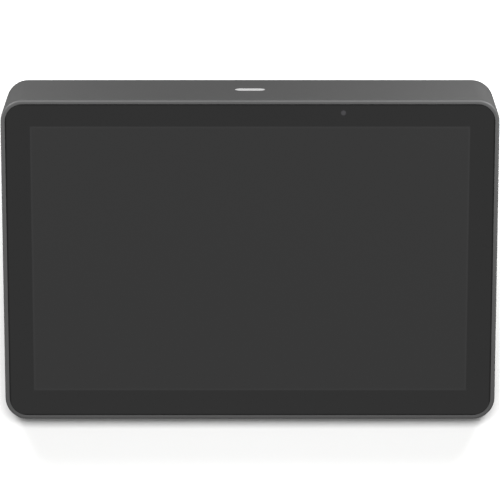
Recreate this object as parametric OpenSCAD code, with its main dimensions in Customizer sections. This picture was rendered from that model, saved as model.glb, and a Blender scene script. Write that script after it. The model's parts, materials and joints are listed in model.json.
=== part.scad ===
// Tabletop touch display: a wedge-shaped housing with a flush glass face, standing on
// rubber feet, with a cable bay behind a hinged door in its base.
// Millimetres, +Z up, X to the right, the face leans up towards +Y, and z = 0 is the table.

/* [Housing] */
// Width of the housing across the face
face_w = 246; // [244:0.5:250]
// Height of the housing along the sloping face
face_h = 164.3; // [163:0.1:168]
// Radius of the four corners seen from the front
corner_r = 11; // [9:0.5:14]
// Slope of the face from the table, in degrees
tilt = 14; // [12:0.5:15]
// Length of the rear wall from the face down to the base plane
rear_wall = 50.7; // [50:0.1:56]
// Thickness of the side walls
wall = 2.6; // [2.2:0.1:2.8]
// Radius of the rounded edge round the face
lip_r = 1.05; // [0.6:0.05:1.2]
// Radius of the rounded edge along the base
base_r = 2; // [1:0.1:2.4]

/* [Glass] */
// Width of the cover glass
glass_w = 241.4; // [240.6:0.1:241.6]
// Height of the cover glass
glass_h = 159.8; // [159:0.1:160]
// Thickness of the cover glass
glass_t = 1.1; // [0.9:0.1:1.1]
// How far the glass sits below the rim
glass_drop = 0.1; // [0:0.05:0.2]
// Gap between the edge of the glass and the rim
glass_gap = 0.15; // [0.1:0.05:0.2]

/* [Display] */
// Width of the lit picture area
picture_w = 216.96; // [216:0.1:218]
// Height of the lit picture area
picture_h = 135.6; // [135:0.1:136]
// Width of the display module
module_w = 228; // [227:0.1:229]
// Height of the display module
module_h = 148.4; // [148:0.1:149]

/* [Base] */
// Height of the feet below the housing
foot_h = 1.8; // [1.4:0.1:2.5]
// Thickness of the base cover
cover_t = 2.2; // [2:0.1:2.4]
// Thickness of the steel ballast plate
ballast_t = 4.5; // [3:0.1:4.8]
// Distance between the threaded mounting inserts, both ways
mount_pitch = 75; // [75:1:76]

/* [Cable bay] */
// Inside width of the cable bay
bay_w = 92; // [88:1:96]
// Inside length of the cable bay, front to rear
bay_l = 54; // [50:1:54]
// Width of the cable exit in the left wall
exit_w = 10; // [8:0.5:11]

/* [Hidden] */
$fn = 64;
eps = 0.01;
big = 400;

// Where the face's centre lies, so that the box of the whole object is centred on x and y.
base_z = foot_h;
rear_arc_depth = rear_wall - base_r * (1 + sin(tilt)) / cos(tilt);
rear_reach = (face_h / 2 - base_r) * cos(tilt) + rear_arc_depth * sin(tilt) + base_r;
front_reach = (face_h / 2 - lip_r) * cos(tilt) - lip_r * sin(tilt) + lip_r;
face_y = (front_reach - rear_reach) / 2;
face_z = base_z + rear_wall * cos(tilt) - face_h / 2 * sin(tilt);
front_wall = rear_wall - face_h * tan(tilt);
front_arc_depth = front_wall - base_r * (1 - sin(tilt)) / cos(tilt);

// Length of the housing's end parts, which hold its corners.
end_l = 12;

// y and z of a point that lies v up the face from its centre and w out of it.
function on_plane(v, w) = [
    face_y + v * cos(tilt) - w * sin(tilt),
    face_z + v * sin(tilt) + w * cos(tilt)
];

// Depths below the face plane of the layers of the display.
glass_back = -glass_drop - glass_t;
glass_r = 8.75;
tape_t = 0.3;
ledge_top = glass_back - tape_t;
ledge_t = 2;
ledge_w = module_w + 4;
ledge_h = module_h + 3.1;
ledge_r = 3;
touch_back = glass_back - 0.4;
adhesive_back = touch_back - 0.2;
cell_back = adhesive_back - 1.1;
shelf_top = cell_back - 0.1;
shelf_back = shelf_top - 0.6;
film_back = shelf_back - 0.3;
guide_back = film_back - 1.8;
sheet_back = guide_back - 0.15;
frame_back = sheet_back - 0.05;
pan_back = frame_back - 0.4;
pan_lip = -2.8;
driver_back = pan_back - 0.8;
module_v = -0.4;
frame_wall = 1.8;
layer_w = module_w - 2 * frame_wall;
layer_h = module_h - 2 * frame_wall;
layer_play = 0.8;

// The strip of lamps along the lower edge of the light guide.
led_space = 4.4;
led_strip_l = 3.8;
led_strip_t = 0.4;
led_count = 24;
led_pitch = 9;
led_w = 3;
led_l = 1.4;
led_t = 0.8;

// Heights of the pieces that lie flat in the base.
cover_under = base_z + 0.3;
cover_top = cover_under + cover_t;
foot_top = cover_under + 0.8;
foot_w = 10;
foot_places = [
    for (x = [-1, 1]) [x * 78, -66, 62],
    for (x = [-1, 1]) [x * 84, 67, 46]
];
ballast_top = cover_top + ballast_t;
board_under = ballast_top + 3.2;
board_t = 1.6;
board_top = board_under + board_t;

// The steel plate's play round a stake, and the stakes and their heads.
stake_r = 1.9;
stake_play = 0.1;
stake_head_r = 3;
stake_head_t = 0.8;

// The cable bay, and the door that closes it.
bay_front = 20;
bay_rear = bay_front + bay_l;
bay_roof = 25.2;
tub_wall = 1.8;
tub_foot_t = 1.8;
tub_foot_side = 13;
tub_foot_front = 3.5;
tub_foot_rear = 5;
tub_screw_out = 8.5;
tub_screw_y = [32, 64];
door_gap = 0.3;
door_t = 2;
door_edge = 3.7;
rib_x = [-20, 0, 20];
rib_w = 1.6;
rib_h = 0.7;
rib_start = 4;
rib_end = 8;
scoop_r = 9;
scoop_out = 3;
scoop_depth = 1;
hinge_y = bay_front + 2.2;
hinge_r = 1.9;
hinge_z = cover_under + hinge_r;
hinge_half = bay_w / 2 - 0.3;
ear_w = 5;
ear_l = 5;
ear_gap = 0.7;
pin_r = 0.8;
pin_l = 10;
pin_in_door = 5.3;
pin_play = 0.05;

// The cable exit, an arch in the left wall.
exit_y = 49;
exit_r = exit_w / 2;
exit_spring = cover_top;
duct_wall = 1.6;

// The cable clamp inside the bay.
clamp_x = -34;
clamp_y = [38.5, 59.5];
clamp_top = 12;
clamp_half = 4;
clamp_bar_t = 2.6;
clamp_groove_r = 4;
clamp_groove_z = clamp_top + 2.2;
clamp_rest = 0.1;
clamp_insert_r = 2.3;
clamp_insert_l = 5;
clamp_screw_l = 11;
clamp_head_r = 2.8;
clamp_head_t = 1.8;
cross_half = 1.6;
cross_w = 0.35;
cross_depth = 1;
web_half = 1.5;
boss_r = 4;
m3_r = 1.45;

// Screws that join the base cover to the housing, and their bosses.
side_x = 117.4;
side_y = [-70, -24, 22, 68];
rear_x = 62;
rear_y = 75.5;
screw_boss_r = 2.7;
boss_bore_top = 11;
boss_rib_half = 1;
rear_boss_top = -34;
screw_r = 1.25;
screw_head_r = 2.2;
screw_l = 7.5;
tub_head_r = 2.4;
tub_screw_l = 3.9;
sink_play = 0.1;
screw_points = concat(
    [for (x = [-side_x, side_x]) for (y = side_y) [x, y]],
    [for (x = [-rear_x, rear_x]) [x, rear_y]]
);

// Ballast plate, main board and the mounting inserts.
ballast_x = 72;
ballast_front = -62;
ballast_rear = 14;
mount_y = -24.5;
insert_r = 3;
m4_r = 2;
stake_points = [for (x = [-58, 58]) for (y = [-50, -8]) [x, y]];
board_x = 68;
board_front = -34;
board_rear = 17.5;
board_points = [for (x = [-63, 63]) for (y = [-29, 9]) [x, y]];

// Other pieces in the base.
speaker_at = [-95, -12];
speaker_r = 16;
speaker_body_r = 13.5;
speaker_hole_r = 13.2;
cone_r = 12.4;
slot_pitch = 3.6;
slot_r = 0.9;
slots_r = 12.5;
gasket_t = 1;
basket_lip = 1.2;
basket_t = 4;
magnet_r = 9;
magnet_t = 4;
jack_y = 2;
jack_z = 11.5;
jack_l = 16;
jack_half = 3;
jack_half_t = 2.6;
jack_hole_r = 3.1;
jack_board_l = 16;
jack_board_half = 10;
jack_board_t = 1.2;
plug_r = 1.8;
plug_depth = 14;
lock_y = 46;
lock_z = 14;
lock_half = [3.5, 1.5];
lock_plate_half = [10, 6];
lock_plate_t = 2;
sensor_u = 46;
sensor_v = 75.6;
sensor_half = 2.5;
sensor_front = glass_back - 0.35;
sensor_back = -3.6;
sensor_board_half = 7;
sensor_board_t = 0.8;
notch_half = 8;
notch_v = 78.2;
notch_back = -6;
badge_depth = 25;
badge_w = 15;
badge_h = 5.6;
badge_recess = 0.5;
badge_drop = 0.05;
reset_x = 38;
reset_z = board_top + 2;
reset_r = 1.5;
reset_start = 16.65;
reset_out = 0.8;
reset_flange = 0.4;
reset_flange_at = 0.35;
reset_flange_t = 0.7;
socket_wall = 0.5;
socket_front = bay_front + 0.2;
hdmi_x = -15;
usb_a_x = 8;
usb_c_x = 26;
chip_y = -4;
sink_y = -7;
sink_w = 44;
sink_l = 24;
sink_t = 1.4;
fin_t = 1.2;
fin_h = 4.6;
fins = 9;
processor_t = 1.4;
pad_t = 0.6;

// Flat outlines and simple bodies

module on_face() {
    translate([0, face_y, face_z]) rotate([tilt, 0, 0]) children();
}

module rounded_rect(w, h, r) {
    square([w - 2 * r, h], center = true);
    square([w, h - 2 * r], center = true);
    for (x = [-1, 1]) for (y = [-1, 1])
        translate([x * (w / 2 - r), y * (h / 2 - r)]) circle(r);
}

// A rounded plate whose top lies at z and whose thickness is t.
module plate(w, h, r, z, t) {
    translate([0, 0, z - t]) linear_extrude(t) rounded_rect(w, h, r);
}

// A box given by its lowest and highest corners.
module block(low, high) {
    translate(low) cube([high[0] - low[0], high[1] - low[1], high[2] - low[2]]);
}

// A thin round lead from a to b with round ends.
module lead(a, b, r) {
    hull() {
        translate(a) sphere(r, $fn = 16);
        translate(b) sphere(r, $fn = 16);
    }
}

function unit(v) = v / norm(v);

// The direction across a path of [y, z] points at its point i, for a path of even thickness.
function across(points, i) =
    let (
        last = len(points) - 1,
        before = unit(points[max(i, 1)] - points[max(i, 1) - 1]),
        after = unit(points[min(i, last - 1) + 1] - points[min(i, last - 1)]),
        mid = unit(before + after)
    )
    [-mid[1], mid[0]] / (mid * after);

// A flat ribbon of width w and thickness t, centred at x, along points given as [y, z].
module ribbon(points, x, w, t) {
    last = len(points) - 1;
    above = [for (i = [0 : last]) points[i] + across(points, i) * t / 2];
    below = [for (i = [0 : last]) points[last - i] - across(points, last - i) * t / 2];
    translate([x - w / 2, 0, 0]) rotate([90, 0, 90]) linear_extrude(w) polygon(concat(above, below));
}

module along_x(x, y, z) {
    translate([x, y, z]) rotate([0, 90, 0]) children();
}

module along_y(x, y, z) {
    translate([x, y, z]) rotate([-90, 0, 0]) children();
}

// Half of the profile of the rounded prism: half width a, top at 0, depth t, top radius r.
module edge_profile(a, t, r) {
    translate([0, -t]) square([a, t - r]);
    translate([0, -t]) square([a - r, t]);
    translate([a - r, -r]) circle(r);
}

// The prism of the housing: rounded corners, and a rounded edge round its top.
module soft_prism(w, h, r, t, e) {
    for (x = [-1, 1]) for (y = [-1, 1])
        translate([x * (w / 2 - r), y * (h / 2 - r), 0])
            rotate_extrude() intersection() {
                edge_profile(r, t, e);
                translate([0, -t]) square([r, t]);
            }
    rotate([90, 0, 0]) translate([0, 0, -(h / 2 - r)]) linear_extrude(h - 2 * r) {
        edge_profile(w / 2, t, e);
        mirror([1, 0]) edge_profile(w / 2, t, e);
    }
    rotate([90, 0, 90]) translate([0, 0, -(w / 2 - r)]) linear_extrude(w - 2 * r) {
        edge_profile(h / 2, t, e);
        mirror([1, 0]) edge_profile(h / 2, t, e);
    }
}

// Everything above the base plane, with its front and rear lower edges rounded.
module base_trim() {
    rear = on_plane(face_h / 2 - base_r, -rear_arc_depth);
    front = on_plane(base_r - face_h / 2, -front_arc_depth);
    block([-face_w, front[0], base_z], [face_w, rear[0], face_z + face_h]);
    for (c = [rear, front])
        along_x(-face_w, c[0], c[1]) cylinder(h = 2 * face_w, r = base_r);
    on_face() block([-face_w, face_h / 2 - base_r, -rear_arc_depth], [face_w, face_h, base_r]);
    on_face() block([-face_w, -face_h, -front_arc_depth], [face_w, face_h, base_r]);
}

// The arched way out for cables, open downwards, and the duct wall over it.
module exit_arch(x0, x1) {
    along_x(x0, exit_y, exit_spring) cylinder(h = x1 - x0, r = exit_r);
    block([x0, exit_y - exit_r, 0], [x1, exit_y + exit_r, exit_spring]);
}

module exit_duct(x0, x1) {
    r = exit_r + duct_wall;
    intersection() {
        along_x(x0, exit_y, exit_spring) cylinder(h = x1 - x0, r = r);
        block([x0, exit_y - r, cover_top], [x1, exit_y + r, exit_spring + 2 * r]);
    }
}

// A countersunk screw at p, its head flush with the underside of the base cover.
module flat_screw(p, head_r, length) {
    translate([p[0], p[1], cover_under]) {
        cylinder(h = head_r - screw_r, r1 = head_r, r2 = screw_r);
        cylinder(h = length, r = screw_r);
    }
}

// The hole for such a screw, a little wider than its head.
module flat_screw_hole(p, head_r) {
    seat_r = head_r + sink_play;
    translate([p[0], p[1], cover_under]) {
        translate([0, 0, -1]) cylinder(h = 1, r = seat_r);
        cylinder(h = seat_r - screw_r, r1 = seat_r, r2 = screw_r);
        cylinder(h = 9, r = screw_r);
    }
}

// Housing and face

module badge_outline() {
    rounded_rect(badge_w, badge_h, badge_h / 2 - eps);
}

// The posts that take the screws of the base cover, each with a rib to its wall.
module screw_bosses() {
    top = face_z + face_h / 2;
    for (p = screw_points) translate([p[0], p[1], cover_top]) cylinder(h = top, r = screw_boss_r);
    for (y = side_y) {
        block([side_x, y - boss_rib_half, cover_top], [face_w / 2 - 1, y + boss_rib_half, top]);
        block([1 - face_w / 2, y - boss_rib_half, cover_top], [-side_x, y + boss_rib_half, top]);
    }
    for (x = [-rear_x, rear_x])
        block([x - boss_rib_half, rear_y, cover_top], [x + boss_rib_half, rear_y + 20, top]);
}

module lock_opening(x0, x1) {
    block([x0, lock_y - lock_half[0], lock_z - lock_half[1]],
          [x1, lock_y + lock_half[0], lock_z + lock_half[1]]);
}

module housing_body() {
    difference() {
        union() {
            difference() {
                intersection() {
                    on_face() soft_prism(face_w, face_h, corner_r, rear_wall + 5, lip_r);
                    base_trim();
                }
                on_face() {
                    plate(glass_w + 2 * glass_gap, glass_h + 2 * glass_gap, glass_r + glass_gap,
                          1, 1 - ledge_top);
                    plate(ledge_w, ledge_h, ledge_r, 0, rear_wall);
                    plate(face_w - 2 * wall, face_h - 2 * wall, corner_r - wall,
                          ledge_top - ledge_t, big);
                    block([sensor_u - notch_half, 0, notch_back], [sensor_u + notch_half, notch_v, 0]);
                    translate([0, face_h / 2 + 1, -badge_depth]) rotate([90, 0, 0])
                        linear_extrude(1 + badge_recess) badge_outline();
                }
            }
            intersection() {
                screw_bosses();
                on_face() difference() {
                    plate(face_w - wall, face_h - wall, corner_r - wall / 2, ledge_top - 1, big);
                    block([-rear_x - 5, -face_h / 2, rear_boss_top], [rear_x + 5, face_h, 1]);
                }
            }
        }
        for (p = screw_points) translate([p[0], p[1], 0]) cylinder(h = boss_bore_top, r = screw_r);
        exit_arch(-face_w, -face_w / 2 + 5);
        along_x(face_w / 2 - 10, jack_y, jack_z) cylinder(h = 20, r = jack_hole_r);
        lock_opening(face_w / 2 - 10, face_w);
    }
}

// The housing is one moulding. Its two ends and the walls between them are drawn as four parts.
module housing_part(low, high) {
    color("#4b4d50") intersection() {
        housing_body();
        on_face() block([low[0], low[1], -2 * rear_wall], [high[0], high[1], 1]);
    }
}

module housing_left() {
    housing_part([-face_w, -face_h], [end_l - face_w / 2, face_h]);
}

module housing_right() {
    housing_part([face_w / 2 - end_l, -face_h], [face_w, face_h]);
}

module housing_front() {
    housing_part([end_l - face_w / 2, -face_h], [face_w / 2 - end_l, 0]);
}

module housing_rear() {
    housing_part([end_l - face_w / 2, 0], [face_w / 2 - end_l, face_h]);
}

module badge() {
    color("#1d1e20") on_face()
        translate([0, face_h / 2 - badge_drop, -badge_depth]) rotate([90, 0, 0])
            linear_extrude(badge_recess - badge_drop) badge_outline();
}

module cover_glass() {
    color("#303234") on_face() plate(glass_w, glass_h, glass_r, -glass_drop, glass_t);
}

module glass_tape() {
    color("#151515") on_face() difference() {
        plate(glass_w - 1, glass_h - 1, glass_r - 0.5, glass_back, tape_t);
        plate(glass_w - 7, glass_h - 6.5, glass_r - 3.25, 1, big);
        block([sensor_u - notch_half - 0.2, 0, notch_back], [sensor_u + notch_half + 0.2, notch_v + 0.2, 0]);
    }
}

module motion_sensor() {
    color("#2a2a30") on_face()
        block([sensor_u - sensor_half, sensor_v - 0.9, sensor_back],
              [sensor_u + sensor_half, sensor_v + 1.9, sensor_front]);
}

module sensor_board() {
    color("darkgreen") on_face()
        block([sensor_u - sensor_board_half, sensor_v - 0.9, sensor_back - sensor_board_t],
              [sensor_u + sensor_board_half, sensor_v + 2.4, sensor_back]);
}

// Display module, from the front layer to the back

module layer(w, h, top, back, r = 1) {
    on_face() translate([0, module_v, 0]) plate(w, h, r, top, top - back);
}

module touch_sensor() {
    color("#585c60") layer(picture_w + 8, picture_h + 8, glass_back, touch_back);
}

module optical_adhesive() {
    color("#c8ccd0") layer(picture_w + 5, picture_h + 5, touch_back, adhesive_back);
}

module lcd_cell() {
    color("#26282a") layer(layer_w - 0.4, layer_h - 0.4, adhesive_back, cell_back);
}

module display_frame() {
    color("#e6e6e2") difference() {
        layer(module_w, module_h, adhesive_back - 0.2, frame_back);
        layer(layer_w, layer_h, 1, shelf_top);
        layer(picture_w + 3, picture_h + 5, 1, frame_back - 1);
        layer(layer_w, layer_h, shelf_back, frame_back - 1);
    }
}

module optical_films() {
    color("#f2f2f4") layer(layer_w - layer_play, layer_h - layer_play, shelf_back, film_back);
}

module light_guide() {
    guide_h = layer_h - layer_play - led_space;
    color("#d8e8ee") on_face() translate([0, module_v + led_space / 2, 0])
        plate(layer_w - layer_play, guide_h, 0.5, film_back, film_back - guide_back);
}

module reflector_sheet() {
    color("white") layer(layer_w - layer_play, layer_h - layer_play, guide_back, sheet_back);
}

module backlight_strip() {
    low = module_v - layer_h / 2 + 0.5;
    color("#f0f0e8") on_face()
        block([-picture_w / 2, low, guide_back],
              [picture_w / 2, low + led_strip_l, guide_back + led_strip_t]);
}

module backlight_leds() {
    low = module_v - layer_h / 2 + 2.6;
    under = guide_back + led_strip_t;
    color("#f6e27a") on_face() for (i = [0 : led_count - 1]) {
        u = (i - (led_count - 1) / 2) * led_pitch;
        block([u - led_w / 2, low, under], [u + led_w / 2, low + led_l, under + led_t]);
    }
}

module display_back_pan() {
    color("#b9bcbe") difference() {
        layer(module_w + 0.8, module_h + 0.8, pan_lip, pan_back);
        layer(module_w, module_h, 1, frame_back);
    }
}

module display_driver_board() {
    color("darkgreen") on_face() block([-70, -70, driver_back], [20, -58, pan_back]);
}

// Flexible circuits and leads

module display_flex() {
    color("#b8742a") ribbon([
        on_plane(-62, driver_back - 0.2), on_plane(-56, driver_back - 0.4),
        [-42, 13.9], [-35, 15.45], [-30.5, 15.45]
    ], -25, 24, 0.25);
}

module touch_flex() {
    color("#b8742a") ribbon([
        on_plane(-72.2, -1.45), on_plane(-75.2, -1.45), on_plane(-75.2, -6.8), on_plane(-60, -6.8),
        [-42, 13.9], [-35, 15.45], [-30.5, 15.45]
    ], 40, 12, 0.2);
}

module sensor_flex() {
    color("#b8742a") ribbon([
        on_plane(77, -4.6), on_plane(77, -7.8), on_plane(30, -7.8),
        [15.6, 27.3], [15.6, 16.8], [11.5, 15.4], [8, 15.4]
    ], 46, 5, 0.2);
}

module antenna_lead() {
    route = [[85, 72, 32], [85, 64, 24], [68, 30, 18.5], [50, -4, 16.6]];
    color("#202020") for (i = [0 : len(route) - 2]) lead(route[i], route[i + 1], 0.6);
}

module speaker_lead() {
    route = [[-80.7, -12, 8.5], [-74, -12, 13.5], [-67.8, -12, 14.6]];
    color("#aa2222") for (i = [0 : len(route) - 2]) lead(route[i], route[i + 1], 0.7);
}

// Base

module cover_outline(inset, z0, z1) {
    intersection() {
        on_face() plate(face_w - 2 * inset, face_h - 2 * inset, corner_r - inset, -2, big);
        block([-face_w, -face_h, z0], [face_w, face_h, z1]);
    }
}

module foot_outline(grow) {
    for (p = foot_places) translate([p[0], p[1]])
        rounded_rect(p[2] + grow, foot_w + grow, foot_w / 2 + grow / 2 - eps);
}

module speaker_slots() {
    for (i = [-3 : 3]) {
        half = sqrt(slots_r * slots_r - i * i * slot_pitch * slot_pitch) - slot_r;
        translate([speaker_at[0] + i * slot_pitch, speaker_at[1], 0]) {
            block([-slot_r, -half, 0], [slot_r, half, cover_top + 1]);
            for (y = [-half, half]) translate([0, y, 0]) cylinder(h = cover_top + 1, r = slot_r);
        }
    }
}

module base_cover() {
    color("#2c2d2f") difference() {
        union() {
            cover_outline(wall + 0.2, cover_under, cover_top);
            for (p = stake_points) translate([p[0], p[1], cover_top - eps]) {
                cylinder(h = ballast_t + 0.5, r = stake_r);
                translate([0, 0, ballast_t + eps]) cylinder(h = stake_head_t, r = stake_head_r);
            }
            for (y = [-8, 8]) translate([110, jack_y + y, cover_top - eps])
                cylinder(h = jack_z - jack_half_t - jack_board_t - cover_top + eps, r = 1.5);
        }
        difference() {
            block([-bay_w / 2 - door_edge - door_gap, bay_front, 0],
                  [bay_w / 2 + door_edge + door_gap, bay_rear + door_edge + door_gap, cover_top + 1]);
            for (x = [-1, 1]) hinge_ear(x);
        }
        for (x = [-1, 1]) hinge_bore(x, pin_r);
        exit_arch(-face_w, -bay_w / 2);
        translate([0, 0, -1]) linear_extrude(foot_top + 1) foot_outline(0.2);
        for (x = [-1, 1]) for (y = [-1, 1])
            translate([x * mount_pitch / 2, mount_y + y * mount_pitch / 2, 0]) cylinder(h = 20, r = insert_r);
        for (p = screw_points) flat_screw_hole(p, screw_head_r);
        for (p = tub_points()) flat_screw_hole(p, tub_head_r);
        speaker_slots();
    }
}

// The blocks beside the door that hold its hinge pins.
module hinge_ear(side) {
    x0 = side > 0 ? bay_w / 2 : -bay_w / 2 - ear_w;
    block([x0, bay_front - 1, 0], [x0 + ear_w, bay_front + ear_l, cover_top + 2]);
}

module hinge_bore(side, r) {
    x0 = side > 0 ? bay_w / 2 - pin_in_door : pin_in_door - bay_w / 2 - pin_l;
    along_x(x0, hinge_y, hinge_z) cylinder(h = pin_l, r = r);
}

module hinge_pins() {
    color("silver") for (x = [-1, 1]) hinge_bore(x, pin_r);
}

function tub_points() = [
    for (x = [-1, 1]) for (y = tub_screw_y) [x * (bay_w / 2 + tub_screw_out), y]
];

// The window in the bay's front wall for a socket whose window is w wide and reaches h above the board.
module socket_window(x, w, h) {
    block([x - w / 2, 0, board_top - 0.2], [x + w / 2, bay_front + 1, board_top + h]);
}

module cable_tub() {
    half = bay_w / 2;
    rim_z = cover_top + tub_foot_t;
    color("#242527") difference() {
        union() {
            block([-half - tub_wall, bay_front - tub_wall, cover_top],
                  [half + tub_wall, bay_rear + tub_wall, bay_roof + tub_wall]);
            block([-half - tub_foot_side, bay_front - tub_foot_front, cover_top],
                  [half + tub_foot_side, bay_rear + tub_foot_rear, rim_z]);
            exit_duct(0.8 + wall - face_w / 2, -half);
        }
        difference() {
            block([-half, bay_front, 0], [half, bay_rear, bay_roof]);
            for (y = clamp_y) translate([clamp_x, y, clamp_top + clamp_rest]) cylinder(h = 20, r = boss_r);
            block([clamp_x - web_half, clamp_y[0], clamp_top + 3],
                  [clamp_x + web_half, clamp_y[1], bay_roof + 1]);
        }
        for (y = clamp_y) translate([clamp_x, y, 0]) {
            cylinder(h = clamp_top + clamp_rest + clamp_insert_l, r = clamp_insert_r);
            cylinder(h = 23, r = m3_r + 0.1);
        }
        exit_arch(-face_w, -half + 1);
        for (x = [-1, 1]) {
            hinge_bore(x, pin_r);
            for (p = tub_points()) translate([p[0], p[1], 0]) cylinder(h = 20, r = screw_r);
        }
        socket_window(hdmi_x, 18, 6.4);
        socket_window(usb_a_x, 16, 6.4);
        socket_window(usb_c_x, 10, 3.8);
        along_y(reset_x, 0, reset_z) cylinder(h = bay_front + 1, r = reset_r + 0.07);
    }
}

module tub_screws() {
    color("silver") for (p = tub_points()) flat_screw(p, tub_head_r, tub_screw_l);
}

module bay_door() {
    half = bay_w / 2 + door_edge;
    rear = bay_rear + door_edge;
    door_top = cover_under + door_t;
    color("#2c2d2f") difference() {
        union() {
            block([-half, bay_front + ear_l + ear_gap, cover_under], [half, rear, door_top]);
            block([-hinge_half, hinge_y, cover_under], [hinge_half, rear, door_top]);
            along_x(-hinge_half, hinge_y, hinge_z) cylinder(h = 2 * hinge_half, r = hinge_r);
            for (x = rib_x)
                block([x - rib_w / 2, hinge_y + rib_start, door_top - eps],
                      [x + rib_w / 2, rear - rib_end, door_top + rib_h]);
        }
        for (x = [-1, 1]) hinge_bore(x, pin_r + pin_play);
        translate([0, rear + scoop_out, 0]) cylinder(h = cover_under + scoop_depth, r = scoop_r);
    }
}

module clamp_bar() {
    color("#3a3c3e") difference() {
        block([clamp_x - clamp_half, clamp_y[0] - clamp_half, clamp_top - clamp_bar_t],
              [clamp_x + clamp_half, clamp_y[1] + clamp_half, clamp_top]);
        for (y = clamp_y) translate([clamp_x, y, 0]) cylinder(h = 20, r = m3_r);
        along_x(clamp_x - 5, exit_y, clamp_groove_z) cylinder(h = 10, r = clamp_groove_r);
    }
}

module clamp_screws() {
    head_z = clamp_top - clamp_bar_t - clamp_head_t;
    color("silver") for (y = clamp_y) translate([clamp_x, y, head_z]) difference() {
        union() {
            cylinder(h = clamp_head_t, r = clamp_head_r);
            cylinder(h = clamp_screw_l, r = m3_r);
        }
        for (turn = [0, 90]) rotate([0, 0, turn])
            block([-cross_half, -cross_w, -1], [cross_half, cross_w, cross_depth]);
    }
}

module clamp_inserts() {
    color("#b8923a") for (y = clamp_y) translate([clamp_x, y, clamp_top + clamp_rest]) difference() {
        cylinder(h = clamp_insert_l, r = clamp_insert_r);
        translate([0, 0, -1]) cylinder(h = clamp_insert_l + 2, r = m3_r + pin_play);
    }
}

module rubber_feet() {
    color("#161616") linear_extrude(foot_top) foot_outline(0);
}

module assembly_screws() {
    color("silver") for (p = screw_points) flat_screw(p, screw_head_r, screw_l);
}

module mount_inserts() {
    color("#b8923a") for (x = [-1, 1]) for (y = [-1, 1])
        translate([x * mount_pitch / 2, mount_y + y * mount_pitch / 2, cover_under]) difference() {
            cylinder(h = cover_t + ballast_t, r = insert_r);
            translate([0, 0, -1]) cylinder(h = 12, r = m4_r);
        }
}

module ballast_plate() {
    color("#8a8d90") difference() {
        block([-ballast_x, ballast_front, cover_top], [ballast_x, ballast_rear, ballast_top]);
        for (p = stake_points) translate([p[0], p[1], 0]) cylinder(h = 20, r = stake_r + stake_play);
        for (x = [-1, 1]) for (y = [-1, 1])
            translate([x * mount_pitch / 2, mount_y + y * mount_pitch / 2, 0]) cylinder(h = 20, r = insert_r);
        for (p = board_points) translate([p[0], p[1], 0]) cylinder(h = 20, r = screw_r);
    }
}

// Main board and what it carries

module main_board() {
    color("#123c22") difference() {
        block([-board_x, board_front, board_under], [board_x, board_rear, board_top]);
        for (p = board_points) translate([p[0], p[1], 0]) cylinder(h = 30, r = screw_r);
    }
}

module board_standoffs() {
    color("#b8923a") for (p = board_points) translate([p[0], p[1], ballast_top]) difference() {
        cylinder(h = board_under - ballast_top, r = 2.8, $fn = 6);
        translate([0, 0, -1]) cylinder(h = 10, r = screw_r);
    }
}

module board_screws() {
    color("silver") for (p = board_points) translate([p[0], p[1], board_top - 7]) {
        cylinder(h = 7, r = screw_r);
        translate([0, 0, 7]) cylinder(h = 1.4, r = 2.2);
    }
}

module on_board(x, y, w, h, t) {
    translate([x - w / 2, y - h / 2, board_top]) cube([w, h, t]);
}

module processor() {
    color("#202020") on_board(0, chip_y, 16, 16, processor_t);
}

module thermal_pad() {
    color("#7a8aa0") translate([0, 0, processor_t]) on_board(0, chip_y, 15, 15, pad_t);
}

module heat_sink() {
    pitch = (sink_w - fin_t) / (fins - 1);
    color("#9ea2a6") translate([0, 0, processor_t + pad_t]) {
        on_board(0, sink_y, sink_w, sink_l, sink_t);
        for (i = [0 : fins - 1]) on_board((fin_t - sink_w) / 2 + i * pitch, sink_y, fin_t, sink_l, fin_h);
    }
}

module memory_chips() {
    color("#202020") for (x = [-13, 0, 13]) on_board(x, -25, 9, 7, 1);
}

module power_inductors() {
    color("#55585c") for (y = [-22, -13, -4]) on_board(-50, y, 7, 7, 3);
}

module radio_shield() {
    color("#c0c2c4") on_board(50, -10, 22, 18, 2.2);
}

module flex_connectors() {
    color("#e8e0c8") {
        on_board(-25, -31, 26, 3.6, 1.6);
        on_board(40, -31, 14, 3.6, 1.6);
        on_board(46, 9, 7, 3.6, 1.6);
        on_board(-63, -12, 8, 5, 1.6);
    }
}

// A metal socket shell, open towards +Y, with a tongue inside it.
module socket(x, w, t, l, tongue_w, tongue_t) {
    back = socket_front - l;
    inner = w / 2 - socket_wall;
    mid_z = board_top + t / 2;
    difference() {
        block([x - w / 2, back, board_top], [x + w / 2, socket_front, board_top + t]);
        block([x - inner, back + 1, board_top + socket_wall],
              [x + inner, socket_front + 1, board_top + t - socket_wall]);
    }
    block([x - tongue_w / 2, back + socket_wall, mid_z - tongue_t / 2],
          [x + tongue_w / 2, socket_front - 1.5, mid_z + tongue_t / 2]);
}

module hdmi_socket() {
    color("#b5b8ba") socket(hdmi_x, 15, 5.6, 11.5, 11, 1);
}

module usb_a_socket() {
    color("#b5b8ba") socket(usb_a_x, 13.2, 5.8, 13.5, 11, 1.8);
}

module usb_c_socket() {
    color("#b5b8ba") socket(usb_c_x, 9, 3.3, 8, 6.6, 0.7);
}

module reset_switch() {
    color("#1a1a1a") on_board(reset_x, 13.2, 6, 6, 4);
}

module reset_button() {
    color("#c84a2c") {
        along_y(reset_x, reset_start, reset_z) cylinder(h = bay_front + reset_out - reset_start, r = reset_r);
        along_y(reset_x, reset_start + reset_flange_at, reset_z)
            cylinder(h = reset_flange_t, r = reset_r + reset_flange);
    }
}

module wifi_antenna() {
    color("#c9a24a") on_face() block([68, 79, -22], [102, 79.4, -13]);
}

// Speaker, headphone jack and lock plate

module speaker_gasket() {
    color("#222222") translate([speaker_at[0], speaker_at[1], cover_top]) difference() {
        cylinder(h = gasket_t, r = speaker_r);
        translate([0, 0, -1]) cylinder(h = 4, r = speaker_hole_r);
    }
}

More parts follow.
